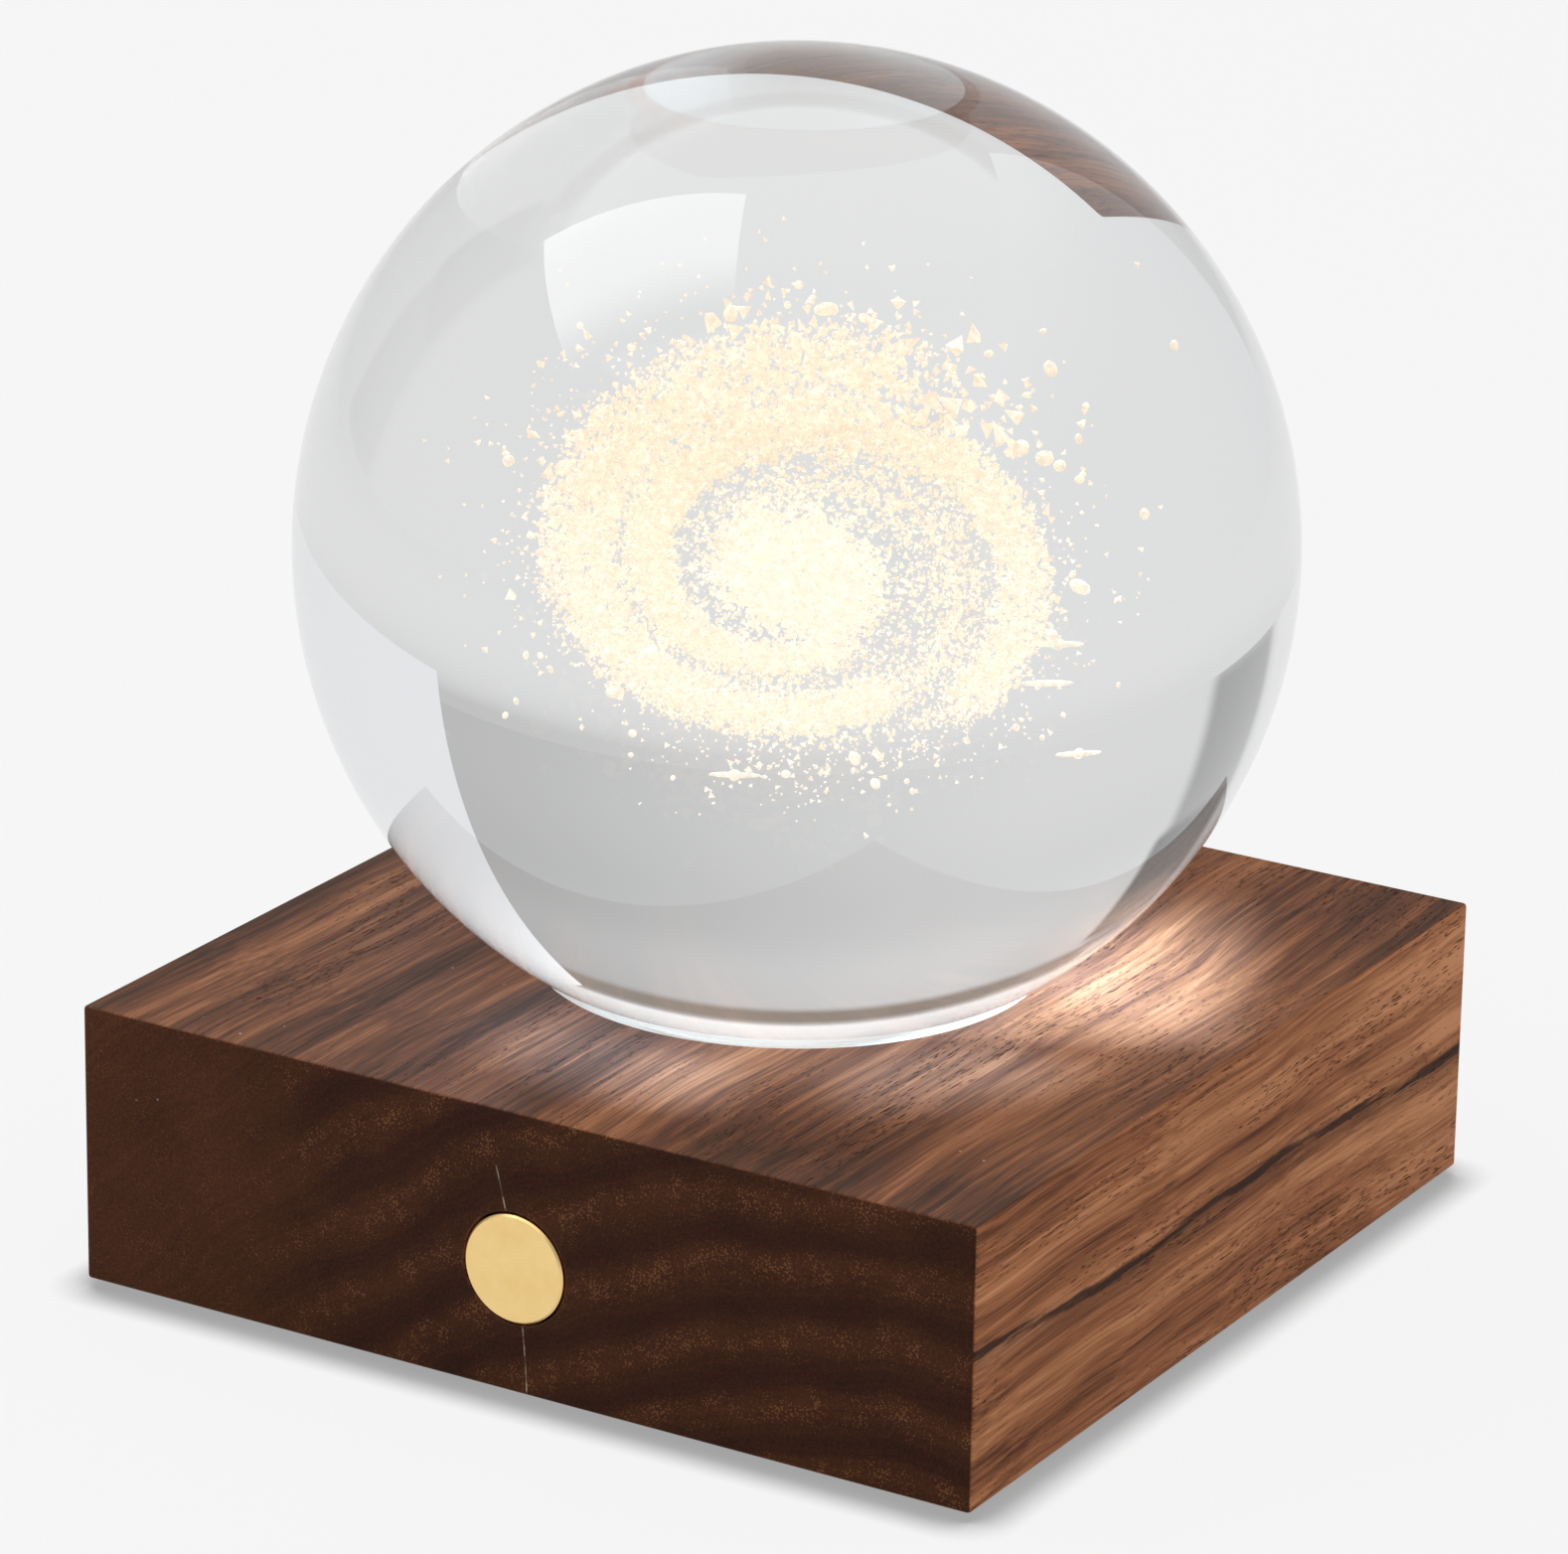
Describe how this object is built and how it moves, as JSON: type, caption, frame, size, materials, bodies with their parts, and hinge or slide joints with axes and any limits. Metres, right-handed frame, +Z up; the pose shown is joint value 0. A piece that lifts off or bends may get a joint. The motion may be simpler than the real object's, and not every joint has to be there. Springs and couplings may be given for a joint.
{
  "type": "crystal ball lamp",
  "caption": "Small table lamp: a solid clear ball with an engraved galaxy rests in a square walnut base with a lamp inside and a brass push button in front.",
  "frame": {"origin": "middle of the footprint, on the plane that the rubber feet stand on", "axes": "+Z up; the push button is in the -Y face and the charging port in the +Y face"},
  "size_m": [0.0816, 0.082, 0.0988],
  "materials": {
    "crystal": "clear polished optical crystal",
    "engraving": "milky laser marks inside the crystal, lit from below",
    "walnut": "oiled walnut, fine open grain",
    "clear_silicone": "clear soft silicone, satin",
    "frosted_window": "frosted translucent acrylic",
    "white_plastic": "moulded, fine texture",
    "steel": "zinc plated, satin",
    "lamp_board": "white solder mask",
    "led": "yellow phosphor in a white frame",
    "brass": "turned and lightly polished",
    "dark_plastic": "moulded, fine texture",
    "black_plastic": "moulded, smooth",
    "green_board": "green solder mask",
    "foil": "soft foil pouch, satin",
    "foam": "fine foam",
    "cream_plastic": "moulded",
    "lead_red": "soft lead jacket",
    "lead_black": "soft lead jacket",
    "lead_white": "soft lead jacket",
    "foot_rubber": "soft, matt"
  },
  "bodies": {
    "base": {"wooden_base": "walnut", "seat_ring": "clear_silicone", "light_window": "frosted_window", "lamp_cup": "white_plastic", "lamp_cup_screws": "steel", "led_board": "lamp_board", "led_chips": "led", "led_board_screws": "steel", "tact_switch": "black_plastic", "switch_board": "green_board", "switch_bracket": "white_plastic", "bracket_screws": "steel", "main_board": "green_board", "board_spacers": "white_plastic", "main_board_screws": "steel", "board_parts": "black_plastic", "charge_socket": "steel", "socket_tongue": "black_plastic", "port_bezel": "dark_plastic", "battery": "foil", "battery_pad": "foam", "guard_board": "green_board", "lead_connectors": "cream_plastic", "battery_lead_red": "lead_red", "battery_lead_black": "lead_black", "led_leads": "lead_white", "switch_leads": "lead_white", "bottom_plate": "dark_plastic", "bottom_plate_screws": "steel", "rubber_feet": "foot_rubber"},
    "ball": {"crystal_ball": "crystal", "galaxy_engraving": "engraving"},
    "button": {"brass_button": "brass", "button_carrier": "dark_plastic", "switch_plunger": "dark_plastic"}
  },
  "joints": [
    {"name": "ball_lift", "type": "slide", "parent": "base", "child": "ball", "axis": [0, 0, 1], "range_m": [0, 0.03]},
    {"name": "button_press", "type": "slide", "parent": "base", "child": "button", "axis": [0, 1, 0], "range_m": [0, 0.001], "stiffness_N_per_m": 1500, "springref_m": -0.0002}
  ]
}
